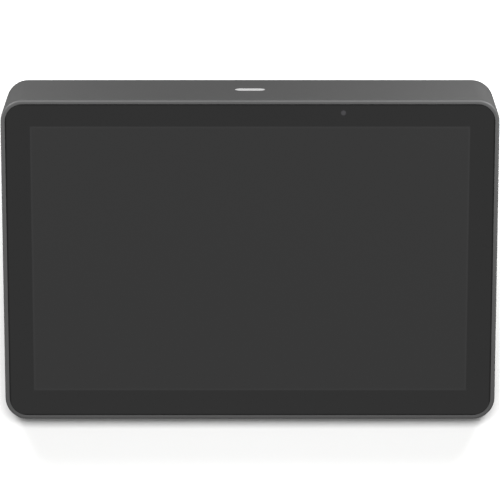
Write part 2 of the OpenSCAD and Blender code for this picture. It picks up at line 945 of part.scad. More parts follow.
module speaker_basket() {
    color("#3c3e40") translate([speaker_at[0], speaker_at[1], cover_top + gasket_t]) difference() {
        union() {
            cylinder(h = basket_lip, r = speaker_r);
            cylinder(h = basket_t, r = speaker_body_r);
        }
        translate([0, 0, -1]) cylinder(h = basket_t, r = cone_r + 0.2);
        cylinder(h = 10, r = 7);
    }
}

module speaker_cone() {
    top = [[0, 1.2], [5, 1.2], [11, 0], [cone_r, 0]];
    back = [[cone_r, 0.4], [11.1, 0.4], [5.2, 1.6], [0, 1.6]];
    color("#5c5c60") translate([speaker_at[0], speaker_at[1], cover_top + gasket_t + 0.2])
        rotate_extrude() polygon(concat(top, back));
}

module speaker_magnet() {
    color("#8d9092") translate([speaker_at[0], speaker_at[1], cover_top + gasket_t + basket_t])
        cylinder(h = magnet_t, r = magnet_r);
}

module headphone_jack() {
    wall_x = face_w / 2;
    color("#1c1c1e") difference() {
        union() {
            block([wall_x - jack_l, jack_y - jack_half, jack_z - jack_half_t],
                  [wall_x - wall - 0.1, jack_y + jack_half, jack_z + jack_half_t]);
            along_x(wall_x - wall - 0.2, jack_y, jack_z) cylinder(h = wall, r = jack_half);
        }
        along_x(wall_x - plug_depth, jack_y, jack_z) cylinder(h = 20, r = plug_r);
    }
}

module jack_board() {
    front_x = face_w / 2 - 4;
    top = jack_z - jack_half_t;
    color("#123c22") block([front_x - jack_board_l, jack_y - jack_board_half, top - jack_board_t],
                           [front_x, jack_y + jack_board_half, top]);
}

module lock_plate() {
    inner = face_w / 2 - wall;
    color("#8a8d90") difference() {
        block([inner - lock_plate_t, lock_y - lock_plate_half[0], lock_z - lock_plate_half[1]],
              [inner, lock_y + lock_plate_half[0], lock_z + lock_plate_half[1]]);
        lock_opening(inner - 5, inner + 5);
    }
}

housing_left();
housing_right();
housing_front();
housing_rear();
badge();
cover_glass();
glass_tape();
touch_sensor();
optical_adhesive();
lcd_cell();
display_frame();
optical_films();
light_guide();
reflector_sheet();
backlight_strip();
backlight_leds();
display_back_pan();
display_driver_board();
motion_sensor();
sensor_board();
sensor_flex();
display_flex();
touch_flex();
base_cover();
ballast_plate();
mount_inserts();
assembly_screws();
rubber_feet();
cable_tub();
tub_screws();
bay_door();
hinge_pins();
clamp_bar();
clamp_screws();
clamp_inserts();
main_board();
board_standoffs();
board_screws();
processor();
thermal_pad();
heat_sink();
memory_chips();
power_inductors();
radio_shield();
flex_connectors();
hdmi_socket();
usb_a_socket();
usb_c_socket();
reset_switch();
reset_button();
wifi_antenna();
antenna_lead();
speaker_basket();
speaker_cone();
speaker_magnet();
speaker_gasket();
speaker_lead();
headphone_jack();
jack_board();
lock_plate();
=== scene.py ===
import json
import math

import bmesh
import bpy
from mathutils import Matrix, Vector


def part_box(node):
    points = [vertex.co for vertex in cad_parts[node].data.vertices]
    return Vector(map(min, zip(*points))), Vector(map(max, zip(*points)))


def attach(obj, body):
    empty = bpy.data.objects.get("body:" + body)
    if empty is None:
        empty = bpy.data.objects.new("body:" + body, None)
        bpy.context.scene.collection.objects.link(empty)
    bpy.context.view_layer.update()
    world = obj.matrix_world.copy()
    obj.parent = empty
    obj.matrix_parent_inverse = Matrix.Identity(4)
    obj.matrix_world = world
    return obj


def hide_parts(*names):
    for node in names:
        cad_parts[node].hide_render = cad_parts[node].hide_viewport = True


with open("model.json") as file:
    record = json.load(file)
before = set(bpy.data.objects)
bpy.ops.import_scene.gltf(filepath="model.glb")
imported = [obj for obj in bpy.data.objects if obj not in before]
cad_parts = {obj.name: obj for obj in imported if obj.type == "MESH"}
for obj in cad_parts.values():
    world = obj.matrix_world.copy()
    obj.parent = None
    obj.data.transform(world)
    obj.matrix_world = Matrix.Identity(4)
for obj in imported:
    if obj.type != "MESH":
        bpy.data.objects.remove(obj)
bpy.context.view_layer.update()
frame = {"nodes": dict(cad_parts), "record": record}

MM = 0.001

# The face: its slope, its size and its layers, as the housing has them.
TILT = math.radians(14)
FACE_W, FACE_H, CORNER_R = 246 * MM, 164.3 * MM, 11 * MM
WALL, LIP_R, BASE_R = 2.6 * MM, 1.05 * MM, 2 * MM
GLASS_W, GLASS_H, GLASS_R = 241.4 * MM, 159.8 * MM, 8.75 * MM
GLASS_DROP, GLASS_T, GLASS_GAP = 0.1 * MM, 1.1 * MM, 0.15 * MM
LEDGE_TOP, LEDGE_BACK = -1.5 * MM, -3.5 * MM
LEDGE_W, LEDGE_H = 232 * MM, 151.5 * MM
PICTURE_W, PICTURE_H, PICTURE_UP = 216.96 * MM, 135.6 * MM, 0.9 * MM
SENSOR_U, SENSOR_V = 46 * MM, 75.6 * MM

RIGHT = Vector((1, 0, 0))
UP = Vector((0, math.cos(TILT), math.sin(TILT)))
OUT = Vector((0, -math.sin(TILT), math.cos(TILT)))
DOWN = Vector((0, 0, -1))


def middle(node):
    low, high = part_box(node)
    return (low + high) / 2


# The centre of the face plane, half the glass and its drop above the middle of the glass.
FACE = middle("cover_glass") + OUT * (GLASS_DROP + GLASS_T / 2)
HOUSING_NODES = ["housing_left", "housing_right", "housing_front", "housing_rear"]
BASE_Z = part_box(HOUSING_NODES[0])[0].z
COVER_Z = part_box("base_cover")[0].z
COVER_TOP = COVER_Z + 2.2 * MM


# ---------------------------------------------------------------- mesh helpers

def on_face(u, v, w):
    """A point u to the right of the face's centre, v up the slope and w out of the face."""
    return FACE + RIGHT * u + UP * v + OUT * w


def outline(w, h, r, steps=10):
    """Points and outward directions of a rounded rectangle, anticlockwise."""
    points = []
    for k in range(4):
        cx = (w / 2 - r) * (1 if k in (0, 3) else -1)
        cy = (h / 2 - r) * (1 if k in (0, 1) else -1)
        for i in range(steps + 1):
            a = math.pi / 2 * (k + i / steps)
            c, s = math.cos(a), math.sin(a)
            points.append((cx + r * c, cy + r * s, c, s))
    return points


def loft(bm, rings, loop=False):
    """Skins rings of points, each as long as the next. A loop joins the last to the first,
    and otherwise both ends are closed."""
    made = [[bm.verts.new(p) for p in ring] for ring in rings]
    pairs = list(zip(made, made[1:])) + ([(made[-1], made[0])] if loop else [])
    for a, b in pairs:
        for i in range(len(a)):
            j = (i + 1) % len(a)
            bm.faces.new((a[i], a[j], b[j], b[i]))
    if not loop:
        bm.faces.new(list(reversed(made[0])))
        bm.faces.new(made[-1])
    return bm


def plug(bm, size, at, axes, stations, steps=10):
    """A rounded rectangle, size (w, h, r), swept from at along axes[2] through stations, which
    are (distance, growth) pairs."""
    w, h, r = size
    a, b, d = axes
    rings = []
    for s, g in stations:
        shape = outline(w + 2 * g, h + 2 * g, max(r + g, 1e-6), steps)
        rings.append([at + a * x + b * y + d * s for x, y, _, _ in shape])
    return loft(bm, rings)


def lathe(bm, profile, at, axes, steps=48, loop=False):
    """Turns (radius, height) pairs about axes[2] through at."""
    a, b, d = axes
    rings = []
    for r, h in profile:
        r = max(r, 1e-6)
        rings.append([at + d * h + (a * math.cos(t) + b * math.sin(t)) * r
                      for t in (2 * math.pi * i / steps for i in range(steps))])
    return loft(bm, rings, loop)


FLAT = (Vector((1, 0, 0)), Vector((0, 1, 0)), Vector((0, 0, 1)))
FACING = (RIGHT, UP, OUT)
ALONG_X = (Vector((0, 1, 0)), Vector((0, 0, 1)), Vector((1, 0, 0)))
REAR_WALL = (RIGHT * -1, OUT, UP)


def box(bm, low, high, edge=0.0, axes=FLAT, origin=Vector((0, 0, 0))):
    """A box with its edges rounded off by edge, all round its sides and at both ends."""
    a, b, d = axes
    mid = [(p + q) / 2 for p, q in zip(low, high)]
    size = [q - p for p, q in zip(low, high)]
    at = origin + a * mid[0] + b * mid[1] + d * low[2]
    e = max(edge, 1e-6)
    ends = [(0, -e), (0.3 * e, -0.3 * e), (e, 0)] if edge else [(0, 0)]
    stations = ends + [(size[2] - s, g) for s, g in reversed(ends)]
    return plug(bm, (size[0], size[1], e), at, axes, stations, 3 if edge else 1)


def tidy(bm, angle=33):
    bmesh.ops.remove_doubles(bm, verts=bm.verts, dist=2e-6)
    bmesh.ops.dissolve_degenerate(bm, edges=bm.edges, dist=1e-6)
    bmesh.ops.recalc_face_normals(bm, faces=bm.faces)
    limit = math.radians(angle)
    for f in bm.faces:
        f.smooth = True
    for e in bm.edges:
        e.smooth = len(e.link_faces) == 2 and e.calc_face_angle(0) < limit
    return bm


def as_object(bm, name):
    mesh = bpy.data.meshes.new(name)
    bm.to_mesh(mesh)
    bm.free()
    thing = bpy.data.objects.new(name, mesh)
    bpy.context.scene.collection.objects.link(thing)
    return thing


def combine(bm, other, operation):
    """bm after a boolean with other, both of which are used up."""
    for b in (bm, other):
        bmesh.ops.remove_doubles(b, verts=b.verts, dist=2e-6)
        bmesh.ops.recalc_face_normals(b, faces=b.faces)
    target, tool = as_object(bm, "target"), as_object(other, "tool")
    step = target.modifiers.new("step", "BOOLEAN")
    step.operation, step.solver, step.object = operation, "EXACT", tool
    bpy.context.view_layer.update()
    result = target.evaluated_get(bpy.context.evaluated_depsgraph_get())
    made = bmesh.new()
    made.from_mesh(result.to_mesh())
    bmesh.ops.triangulate(made, faces=[f for f in made.faces if len(f.verts) > 4])
    for thing in (target, tool):
        mesh = thing.data
        bpy.data.objects.remove(thing)
        bpy.data.meshes.remove(mesh)
    return made


def cut(bm, *tools):
    for tool in tools:
        bm = combine(bm, tool, "DIFFERENCE")
    return bm


def joined(bm, *others):
    for other in others:
        bm = combine(bm, other, "UNION")
    return bm


def piece(name, bm, slot, body="chassis", replaces=(), angle=33):
    """A finished piece of the object in its slot's material, riding on a body of the CAD model."""
    thing = as_object(tidy(bm, angle), name)
    thing.modifiers.new("flat_faces_stay_flat", "WEIGHTED_NORMAL").keep_sharp = True
    thing.data.materials.append(finish_of(slot))
    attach(thing, body)
    if replaces:
        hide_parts(*replaces)
    return thing


# ---------------------------------------------------------------- materials

def node(tree, kind, values=(), **settings):
    """Adds a node. values fill its inputs by name or number, a socket being linked and anything else set."""
    made = tree.nodes.new("ShaderNode" + kind)
    for key, value in settings.items():
        setattr(made, key, value)
    for key, value in dict(values).items():
        if isinstance(value, bpy.types.NodeSocket):
            tree.links.new(value, made.inputs[key])
        else:
            made.inputs[key].default_value = value
    return made


def new_material(name, **sockets):
    """A material and its tree, shader and object coordinates, in metres."""
    made = bpy.data.materials.new(name)
    made.use_nodes = True
    tree = made.node_tree
    tree.nodes.clear()
    shader = node(tree, "BsdfPrincipled", {k.replace("_", " "): v for k, v in sockets.items()})
    out = node(tree, "OutputMaterial", {"Surface": shader.outputs[0]})
    out.is_active_output = True
    return made, tree, shader, node(tree, "TexCoord").outputs["Object"]


def stretched(tree, coords, scale):
    return node(tree, "Mapping", {"Vector": coords, "Scale": scale}).outputs[0]


def grain(tree, coords, size, detail=2.0):
    """Noise whose blobs are about size metres across, from 0 to 1."""
    return node(tree, "TexNoise", {"Vector": coords, "Scale": 1 / size, "Detail": detail}).outputs["Fac"]


def spread(tree, value, low, high, start=0.3, end=0.7):
    return node(tree, "MapRange", {0: value, 1: start, 2: end, 3: low, 4: high}).outputs[0]


def maths(tree, operation, a, b=0.0):
    return node(tree, "Math", {0: a, 1: b}, operation=operation).outputs[0]


def mixed(tree, factor, a, b):
    """Colour a where factor is 0 and b where it is 1."""
    made = node(tree, "Mix", data_type="RGBA")
    for socket, value in ((made.inputs[0], factor), (made.inputs[6], a), (made.inputs[7], b)):
        if isinstance(value, bpy.types.NodeSocket):
            tree.links.new(value, socket)
        elif socket is made.inputs[0]:
            socket.default_value = value
        else:
            socket.default_value = (*value, 1)
    return made.outputs[2]


def shade(colour, by):
    return tuple(c * by for c in colour)


def relief(tree, shader, height, depth, strength=1.0, under=None):
    """Bump of real depth in metres, on top of another bump if under is given."""
    made = node(tree, "Bump", {"Height": height, "Distance": depth, "Strength": strength})
    if under is not None:
        tree.links.new(under.outputs[0], made.inputs["Normal"])
    tree.links.new(made.outputs[0], shader.inputs["Normal"])
    return made


def plastic(name, colour, rough=0.5, grain_size=0.35 * MM, depth=0.02 * MM, uneven=0.06, worn=0.0,
            gleam=0.4):
    """Moulded plastic: a spark-eroded grain, and colour and gloss that drift a little."""
    made, tree, shader, coords = new_material(name, IOR=1.46, Specular_IOR_Level=gleam)
    fine = grain(tree, coords, grain_size, 3)
    broad = grain(tree, coords, 24 * MM, 3)
    tone = mixed(tree, broad, shade(colour, 1 - uneven), shade(colour, 1 + uneven))
    if worn:
        edge = node(tree, "NewGeometry").outputs["Pointiness"]
        tone = mixed(tree, spread(tree, edge, 0, worn, 0.52, 0.62), tone, shade(colour, 1.6))
    tree.links.new(tone, shader.inputs["Base Color"])
    gloss = spread(tree, maths(tree, "ADD", fine, broad), rough - 0.07, rough + 0.07, 0.7, 1.3)
    tree.links.new(gloss, shader.inputs["Roughness"])
    relief(tree, shader, fine, depth, 0.7)
    return made


def metal(name, colour, rough=0.3, along=(1, 40, 40), line=1.5 * MM, depth=0.004 * MM):
    """Worked metal: fine lines along one axis, and stains that dull it in places."""
    made, tree, shader, coords = new_material(name, Metallic=1.0)
    lines = grain(tree, stretched(tree, coords, along), line, 4)
    stain = grain(tree, coords, 9 * MM, 4)
    tone = mixed(tree, stain, shade(colour, 0.88), shade(colour, 1.06))
    tree.links.new(tone, shader.inputs["Base Color"])
    tree.links.new(spread(tree, maths(tree, "ADD", lines, stain), rough - 0.08, rough + 0.1, 0.7, 1.3),
                   shader.inputs["Roughness"])
    relief(tree, shader, lines, depth, 0.6)
    return made


def rubber(name, colour, grain_size=0.5 * MM):
    """Silicone or foam: matt, with a soft sheen and a pitted skin."""
    made, tree, shader, coords = new_material(name, IOR=1.42, Sheen_Weight=0.12, Sheen_Roughness=0.6)
    pits = node(tree, "TexVoronoi", {"Vector": coords, "Scale": 1 / grain_size}).outputs["Distance"]
    dust = grain(tree, coords, 7 * MM, 5)
    tree.links.new(mixed(tree, spread(tree, dust, 0, 1, 0.45, 0.75), colour, shade(colour, 1.8)),
                   shader.inputs["Base Color"])
    tree.links.new(spread(tree, dust, 0.72, 0.9), shader.inputs["Roughness"])
    relief(tree, shader, pits, 0.02 * MM, 0.5)
    return made


def film(name, colour, rough=0.15, wave=6 * MM):
    """A thin plastic layer, with the slight waviness of a laminated sheet."""
    made, tree, shader, coords = new_material(name, IOR=1.5, Coat_Weight=0.4, Coat_Roughness=0.08)
    ripple = grain(tree, coords, wave, 2)
    tone = mixed(tree, ripple, shade(colour, 0.95), shade(colour, 1.04))
    tree.links.new(tone, shader.inputs["Base Color"])
    tree.links.new(spread(tree, grain(tree, coords, 0.6 * MM, 3), rough - 0.05, rough + 0.08),
                   shader.inputs["Roughness"])
    relief(tree, shader, ripple, 0.01 * MM, 0.3)
    return made


def circuit_board(name):
    """Green solder mask over copper: lanes of traces, plated vias and a satin surface."""
    made, tree, shader, coords = new_material(name, IOR=1.5, Coat_Weight=0.3, Coat_Roughness=0.2)
    lanes = node(tree, "TexBrick", {"Vector": coords, "Scale": 1 / (9 * MM), "Mortar Size": 0.035,
                                    "Color1": (0, 0, 0, 1), "Color2": (0.12, 0.12, 0.12, 1),
                                    "Mortar": (1, 1, 1, 1)}).outputs["Color"]
    dots = node(tree, "TexVoronoi", {"Vector": coords, "Scale": 1 / (3 * MM)}).outputs["Distance"]
    vias = spread(tree, dots, 1, 0, 0.1, 0.13)
    mask = mixed(tree, lanes, (0.008, 0.05, 0.025), (0.02, 0.13, 0.06))
    tree.links.new(mixed(tree, vias, mask, (0.62, 0.5, 0.22)), shader.inputs["Base Color"])
    tree.links.new(maths(tree, "MULTIPLY", vias, 0.9), shader.inputs["Metallic"])
    tree.links.new(spread(tree, grain(tree, coords, 1.2 * MM), 0.3, 0.42), shader.inputs["Roughness"])
    relief(tree, shader, lanes, 0.03 * MM, 0.6)
    return made


def flexible_circuit(name):
    """Amber film with copper lanes showing through along its width."""
    made, tree, shader, coords = new_material(name, IOR=1.6, Coat_Weight=0.5, Coat_Roughness=0.15)
    lanes = node(tree, "TexWave", {"Vector": coords, "Scale": 1 / (4.5 * MM), "Distortion": 0.0},
                 bands_direction="X").outputs["Fac"]
    copper = spread(tree, lanes, 0, 1, 0.45, 0.6)
    tree.links.new(mixed(tree, copper, (0.2, 0.075, 0.015), (0.5, 0.24, 0.07)), shader.inputs["Base Color"])
    tree.links.new(spread(tree, grain(tree, coords, 2 * MM, 3), 0.25, 0.4), shader.inputs["Roughness"])
    relief(tree, shader, copper, 0.02 * MM, 0.6)
    return made


def chip_package(name, colour):
    """Moulded epoxy: blasted surface, faint flow marks."""
    return plastic(name, colour, rough=0.55, grain_size=0.18 * MM, depth=0.01 * MM, uneven=0.14)


def inside_band(tree, value, half, soft):
    """1 where value is nearer to 0 than half, falling to 0 over soft."""
    return spread(tree, maths(tree, "ABSOLUTE", value), 1, 0, half - soft / 2, half + soft / 2)


def display_glass(name):
    """Dark gloss glass over a black printed border. The picture area behind it is a shade lighter,
    with a thin line of its own round it, and the sensor's window is a clearer dot in the border."""
    made, tree, shader, coords = new_material(name, IOR=1.5, Coat_Weight=0.0)
    local = node(tree, "VectorMath", {0: coords, 1: FACE}, operation="SUBTRACT").outputs[0]
    u = node(tree, "VectorMath", {0: local, 1: RIGHT}, operation="DOT_PRODUCT").outputs["Value"]
    v = node(tree, "VectorMath", {0: local, 1: UP}, operation="DOT_PRODUCT").outputs["Value"]
    lifted = maths(tree, "SUBTRACT", v, PICTURE_UP)

    def frame_mask(extra, soft):
        return maths(tree, "MULTIPLY", inside_band(tree, u, PICTURE_W / 2 + extra, soft),
                     inside_band(tree, lifted, PICTURE_H / 2 + extra, soft))

    picture = frame_mask(0, 0.3 * MM)
    rim = maths(tree, "SUBTRACT", frame_mask(0, 0.3 * MM), frame_mask(-0.8 * MM, 0.6 * MM))
    spot = on_face(SENSOR_U, SENSOR_V, -GLASS_DROP)
    from_spot = node(tree, "VectorMath", {0: coords, 1: spot}, operation="DISTANCE").outputs["Value"]
    dot = spread(tree, from_spot, 1, 0, 0.9 * MM, 1.5 * MM)
    cells = grain(tree, coords, 0.5 * MM, 2)
    lit = mixed(tree, cells, (0.0055, 0.0055, 0.0055), (0.0062, 0.0062, 0.0062))
    tone = mixed(tree, picture, (0.0018, 0.0018, 0.0018), lit)
    tone = mixed(tree, maths(tree, "MULTIPLY", rim, 0.08), tone, (0.030, 0.030, 0.031))
    tone = mixed(tree, maths(tree, "MULTIPLY", dot, 0.6), tone, (0.030, 0.029, 0.032))
    tree.links.new(tone, shader.inputs["Base Color"])
    inner = maths(tree, "MULTIPLY", inside_band(tree, u, GLASS_W / 2 - 0.6 * MM, 0.3 * MM),
                  inside_band(tree, v, GLASS_H / 2 - 0.6 * MM, 0.3 * MM))
    tree.links.new(spread(tree, inner, 0.3, 0.5, 0, 1), shader.inputs["Specular IOR Level"])
    smears = grain(tree, stretched(tree, coords, (1, 2.2, 1)), 30 * MM, 5)
    tree.links.new(spread(tree, smears, 0.06, 0.13), shader.inputs["Roughness"])
    relief(tree, shader, grain(tree, coords, 60 * MM, 1), 0.01 * MM, 0.1)
    return made


def housing_plastic(name):
    """Graphite moulded plastic, its rim a little smoother where hands rub it, its colour there lightened as
    a painted highlight on the lip.
    """
    made, tree, shader, coords = new_material(name, IOR=1.46, Specular_IOR_Level=0.03)
    fine = grain(tree, coords, 0.3 * MM, 3)
    broad = grain(tree, coords, 24 * MM, 3)
    local = node(tree, "VectorMath", {0: coords, 1: FACE}, operation="SUBTRACT").outputs[0]
    w = node(tree, "VectorMath", {0: local, 1: OUT}, operation="DOT_PRODUCT").outputs["Value"]
    rim = spread(tree, w, 0, 1, -0.45 * MM, -0.25 * MM)
    tone = mixed(tree, broad, shade(HOUSING_TONE, 0.97), shade(HOUSING_TONE, 1.03))
    # The rim band's colour is lightened here: a painted highlight on the lip.
    tree.links.new(mixed(tree, rim, tone, shade(HOUSING_TONE, RIM_PAINTED_HIGHLIGHT)), shader.inputs["Base Color"])
    tree.links.new(maths(tree, "MULTIPLY", rim, RIM_GLEAM), shader.inputs["Specular IOR Level"])
    gloss = spread(tree, maths(tree, "ADD", fine, broad), 0.48, 0.6, 0.7, 1.3)
    smoother = maths(tree, "MULTIPLY", rim, 0.12)
    tree.links.new(maths(tree, "SUBTRACT", gloss, smoother), shader.inputs["Roughness"])
    relief(tree, shader, fine, 0.012 * MM, 0.7)
    return made


# The middle value lightens the rim's colour: a painted highlight on the lip.
HOUSING_TONE, RIM_PAINTED_HIGHLIGHT, RIM_GLEAM = (0.034, 0.034, 0.034), 1.25, 0.2
MAKERS = {
    "housing_plastic": housing_plastic,
    "badge_ink": lambda n: film(n, (0.012, 0.012, 0.013), 0.2),
    "cover_glass": display_glass,
    "tape": lambda n: rubber(n, (0.012, 0.012, 0.012), 0.25 * MM),
    "touch_layer": lambda n: film(n, (0.1, 0.11, 0.12)),
    "adhesive": lambda n: film(n, (0.5, 0.52, 0.54), 0.1),
    "lcd_glass": lambda n: film(n, (0.02, 0.021, 0.022), 0.12),
    "frame_white": lambda n: plastic(n, (0.75, 0.75, 0.72), 0.5),
    "film": lambda n: film(n, (0.8, 0.8, 0.82), 0.35),
    "light_guide": lambda n: film(n, (0.66, 0.74, 0.77), 0.12),
    "reflector": lambda n: film(n, (0.85, 0.85, 0.85), 0.25),
    "led_board": lambda n: plastic(n, (0.75, 0.75, 0.7), 0.4, 0.2 * MM),
    "led": lambda n: plastic(n, (0.8, 0.66, 0.18), 0.35, 0.2 * MM),
    "pan_steel": lambda n: metal(n, (0.5, 0.51, 0.52), 0.35, (1, 30, 30)),
    "circuit_board": circuit_board,
    "sensor": lambda n: film(n, (0.02, 0.02, 0.03), 0.12),
    "flex": flexible_circuit,
    "base_plastic": lambda n: plastic(n, (0.026, 0.027, 0.029), 0.55, 0.45 * MM, 0.03 * MM, 0.08, worn=0.25),
    "tub_plastic": lambda n: plastic(n, (0.02, 0.021, 0.023), 0.6, 0.5 * MM, 0.03 * MM, 0.1),
    "steel": lambda n: metal(n, (0.45, 0.46, 0.47), 0.4, (1, 25, 25)),
    "brass": lambda n: metal(n, (0.72, 0.53, 0.24), 0.28, (1, 1, 30)),
    "screw_steel": lambda n: metal(n, (0.12, 0.12, 0.13), 0.32, (1, 1, 8), 0.8 * MM),
    "pin_steel": lambda n: metal(n, (0.6, 0.61, 0.62), 0.2, (30, 1, 1)),
    "rubber": lambda n: rubber(n, (0.014, 0.014, 0.014)),
    "gasket_foam": lambda n: rubber(n, (0.02, 0.02, 0.02), 0.6 * MM),
    "chip": lambda n: chip_package(n, (0.022, 0.022, 0.023)),
    "thermal": lambda n: rubber(n, (0.2, 0.25, 0.33), 0.4 * MM),
    "heat_sink": lambda n: metal(n, (0.58, 0.59, 0.6), 0.38, (30, 1, 30)),
    "ferrite": lambda n: chip_package(n, (0.09, 0.09, 0.095)),
    "tin": lambda n: metal(n, (0.62, 0.63, 0.63), 0.25, (8, 1, 8), 2 * MM),
    "connector": lambda n: plastic(n, (0.7, 0.64, 0.52), 0.45, 0.25 * MM),
    "reset_plastic": lambda n: plastic(n, (0.55, 0.1, 0.04), 0.35, 0.25 * MM),
    "antenna": lambda n: metal(n, (0.68, 0.46, 0.18), 0.3),
    "lead": lambda n: rubber(n, (0.02, 0.02, 0.02), 0.3 * MM),
    "lead_red": lambda n: rubber(n, (0.35, 0.02, 0.02), 0.3 * MM),
    "basket": lambda n: plastic(n, (0.04, 0.04, 0.043), 0.4, 0.4 * MM),
    "cone": lambda n: rubber(n, (0.045, 0.045, 0.05), 0.8 * MM),
    "magnet": lambda n: metal(n, (0.5, 0.5, 0.52), 0.3),
    "jack_plastic": lambda n: plastic(n, (0.015, 0.015, 0.017), 0.35, 0.3 * MM),
    "floor": lambda n: plastic(n, (0.5, 0.5, 0.498), 0.8, 3 * MM, 0.05 * MM, 0.01, gleam=0.1),
}
MADE = {}


def finish_of(slot):
    """The material of a slot, made on first use."""
    if slot not in MADE:
        MADE[slot] = MAKERS[slot](slot)
    return MADE[slot]


# ---------------------------------------------------------------- housing, glass and badge

def at_height(x, y, z):
    """The point of a wall line that stands at x, y on the face plane, where it crosses the height z."""
    foot = on_face(x, y, 0)
    return foot + OUT * ((z - foot.z) / OUT.z)


def box_tool(low, high, axes=FLAT, origin=Vector((0, 0, 0))):
    return box(bmesh.new(), low, high, 0, axes, origin)


def rod(bm, r, start, end, at, axes, chamfer=0.0, steps=48):
    """A round bar along axes[2] from start to end, its ends broken by chamfer."""
    ends = [(r - chamfer, start), (r, start + chamfer), (r, end - chamfer), (r - chamfer, end)]
    return lathe(bm, ends if chamfer else [(r, start), (r, end)], at, axes, steps)


def wall_rings():
    """Rings of the housing from the glass opening over the lip, down the wall, under and up inside."""
    opening = outline(GLASS_W + 2 * GLASS_GAP, GLASS_H + 2 * GLASS_GAP, GLASS_R + GLASS_GAP)
    outer = outline(FACE_W, FACE_H, CORNER_R)
    round_in = 0.06 * MM

    def ring(shape, inset, w):
        return [on_face(x - nx * inset, y - ny * inset, w) for x, y, nx, ny in shape]

    rings = [ring(opening, 0, LEDGE_TOP), ring(opening, 0, -round_in)]
    rings.append(ring(opening, -round_in * 0.3, -round_in * 0.3))
    rings.append(ring(opening, -round_in, 0))
    for i in range(7):
        a = math.pi / 2 * i / 6
        rings.append(ring(outer, LIP_R * (1 - math.sin(a)), -LIP_R * (1 - math.cos(a))))
    for depth, inset in ((1.62, 0), (1.66, 0.16), (1.84, 0.16), (1.88, 0)):
        rings.append(ring(outer, inset * MM, -depth * MM))
    for i in range(9):
        rings.append(base_ring(outer, i / 8))
    inner = [(x - nx * WALL, y - ny * WALL) for x, y, nx, ny in outer]
    rings.append([at_height(x, y, BASE_Z) for x, y in inner])
    rings.append([on_face(x, y, LEDGE_BACK) for x, y in inner])
    ledge = outline(LEDGE_W, LEDGE_H, 3 * MM)
    return rings + [ring(ledge, 0, LEDGE_BACK), ring(ledge, 0, LEDGE_TOP)]


def base_ring(outer, turn):
    """The ring of the rounded lower edge, turned from the wall at 0 to the base at 1."""
    points = []
    for x, y, nx, ny in outer:
        side = RIGHT * nx + UP * ny
        centre = at_height(x - nx * BASE_R, y - ny * BASE_R, BASE_Z + BASE_R)
        angle = side.angle(DOWN)
        a, b = math.sin(angle * (1 - turn)), math.sin(angle * turn)
        points.append(centre + (side * a + DOWN * b) * (BASE_R / math.sin(angle)))
    return points


def boss(bm, x, y, r, steps=24):
    """A screw post from the base cover up to the back of the ledge, kept inside the rear wall."""
    top = on_face(0, 0, LEDGE_BACK + 1 * MM)
    wall = on_face(0, FACE_H / 2 - WALL / 2, 0)
    low, high = [], []
    for i in range(steps):
        t = 2 * math.pi * i / steps
        px, py = x + r * math.cos(t), y + r * math.sin(t)
        low.append(Vector((px, py, COVER_TOP)))
        under_ledge = top.z + (py - top.y) * math.tan(TILT)
        under_wall = wall.z - (py - wall.y) / math.tan(TILT)
        high.append(Vector((px, py, min(under_ledge, under_wall))))
    return loft(bm, [low, high])


SCREW_SIDE_X, SCREW_SIDE_Y = 117.4 * MM, [y * MM for y in (-70, -24, 22, 68)]
SCREW_REAR_X, SCREW_REAR_Y = 62 * MM, 75.5 * MM
SCREWS = [(s * SCREW_SIDE_X, y) for s in (-1, 1) for y in SCREW_SIDE_Y]
SCREWS += [(s * SCREW_REAR_X, SCREW_REAR_Y) for s in (-1, 1)]
EXIT_Y, EXIT_R = 49 * MM, 5 * MM
JACK = Vector((FACE_W / 2, 2 * MM, 11.5 * MM))
LOCK = Vector((FACE_W / 2, 46 * MM, 14 * MM))
BADGE_W, BADGE_H, BADGE_DEPTH, BADGE_RECESS = 15 * MM, 5.6 * MM, 25 * MM, 0.5 * MM
BADGE_AT = on_face(0, FACE_H / 2, -BADGE_DEPTH)


def exit_tool(x0, x1, flare):
    """The arched way out through a wall, wider at its outer mouth at x0."""
    centre = Vector((x0 - 1 * MM, EXIT_Y, COVER_TOP))
    depth = x1 - x0 + 1 * MM
    rings = []
    for s, grow in ((0, flare), (1 * MM, flare), (1.2 * MM, flare * 0.5), (1 * MM + flare, 0), (depth, 0)):
        r = EXIT_R + grow
        arch = [(r * math.cos(math.pi * i / 24), r * math.sin(math.pi * i / 24)) for i in range(25)]
        path = [(r, -12 * MM)] + arch + [(-r, -12 * MM)]
        rings.append([centre + Vector((s, y, z)) for y, z in path])
    return loft(bmesh.new(), rings)


def mouth(r, at, axes, depth, flare):
    """A round hole cut inwards along axes[2] from at, with a rounded mouth."""
    profile = [(r + flare, -1 * MM), (r + flare, 0), (r + flare * 0.3, flare * 0.3), (r, flare), (r, depth)]
    return lathe(bmesh.new(), profile, at, axes, 40)


INTO_RIGHT = (Vector((0, 1, 0)), Vector((0, 0, -1)), Vector((-1, 0, 0)))


def housing():
    shell = loft(bmesh.new(), wall_rings(), loop=True)
    badge_bed = plug(bmesh.new(), (BADGE_W, BADGE_H, BADGE_H / 2 - 0.01 * MM), BADGE_AT, REAR_WALL,
                     [(-BADGE_RECESS, 0), (-0.1 * MM, 0), (0, 0.08 * MM), (1 * MM, 0.08 * MM)])
    lock = plug(bmesh.new(), (7 * MM, 3 * MM, 0.6 * MM), LOCK, INTO_RIGHT,
                [(-1 * MM, 0.4 * MM), (0, 0.4 * MM), (0.15 * MM, 0.1 * MM), (0.4 * MM, 0), (5 * MM, 0)], 4)
    notch = box_tool((38 * MM, 60 * MM, -6 * MM), (54 * MM, 78.2 * MM, -1.2 * MM), FACING, FACE)
    exit_way = exit_tool(-FACE_W / 2, -FACE_W / 2 + 5 * MM, 0.5 * MM)
    jack = mouth(3.1 * MM, JACK, INTO_RIGHT, 5 * MM, 0.4 * MM)
    shell = cut(shell, badge_bed, lock, notch, exit_way, jack)
    for x, y in SCREWS:
        boss(shell, x, y, 2.7 * MM)
    piece("housing_shell", shell, "housing_plastic", replaces=HOUSING_NODES)


